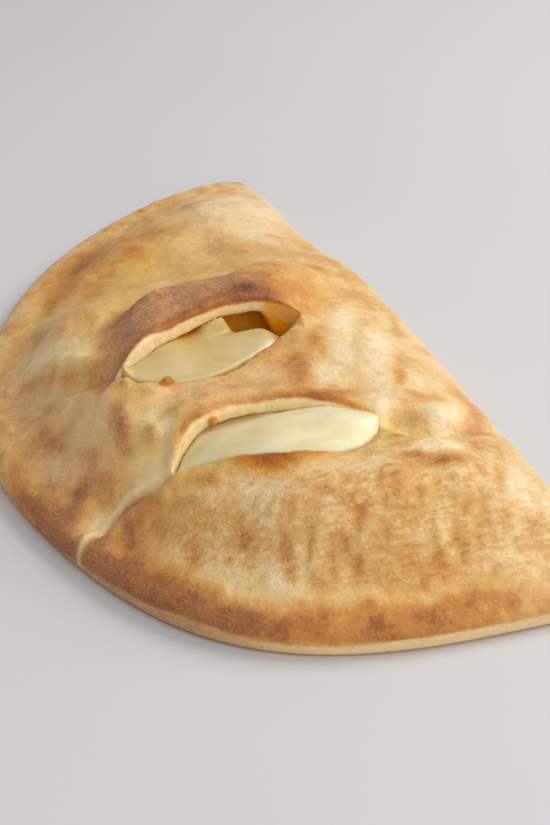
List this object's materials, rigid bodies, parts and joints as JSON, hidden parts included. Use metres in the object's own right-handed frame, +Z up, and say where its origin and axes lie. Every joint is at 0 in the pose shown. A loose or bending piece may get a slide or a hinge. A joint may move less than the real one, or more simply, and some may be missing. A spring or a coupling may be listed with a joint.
{
  "type": "calzone",
  "caption": "Half-moon baked calzone: a folded crust with a pressed rim and vents across the domed top, where the melted cheese filling shows.",
  "frame": {"origin": "on the flat underside, under the middle of the outline's box", "axes": "+X along the straight fold, from the rear corner to the front one; +Y towards the fold, away from the curved edge; +Z up"},
  "size_m": [0.3123, 0.152, 0.0457],
  "materials": {
    "dough": "matte baked crust, golden with brown patches and a floury bloom",
    "cheese": "soft gloss, pale cream"
  },
  "bodies": {
    "root": {"dough": "dough", "cheese": "cheese"}
  },
  "joints": []
}
